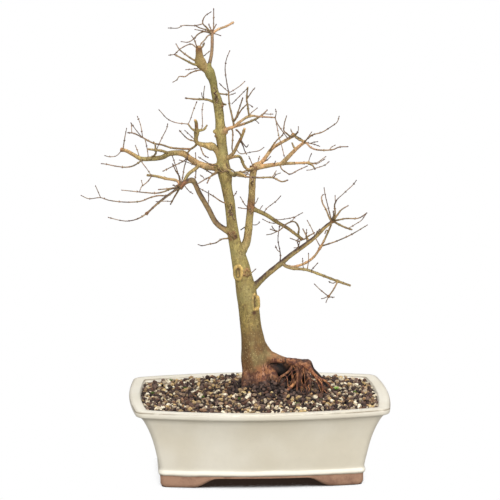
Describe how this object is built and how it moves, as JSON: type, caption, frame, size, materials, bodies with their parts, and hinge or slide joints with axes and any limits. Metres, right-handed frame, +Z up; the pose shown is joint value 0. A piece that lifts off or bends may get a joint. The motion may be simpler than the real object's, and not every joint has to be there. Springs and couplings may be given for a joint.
{
  "type": "bonsai tree",
  "caption": "Bare deciduous trident maple bonsai with forked trunk, exposed roots and fine twigs, in grit soil in a low flared rectangular glazed pot on four corner feet.",
  "frame": {"origin": "on the ground, under the middle of the bounding box of tree and pot", "axes": "+X to the right along the pot's length, +Y to the back of the pot, +Z up"},
  "size_m": [0.3076, 0.1898, 0.4685],
  "materials": {
    "glazed_stoneware": "gloss",
    "drain_net": "matte",
    "grit_soil": "matte",
    "bark": "matte"
  },
  "bodies": {
    "root": {"pot": "glazed_stoneware", "drain_screen_left": "drain_net", "drain_screen_right": "drain_net", "soil": "grit_soil", "tree": "bark"}
  },
  "joints": []
}
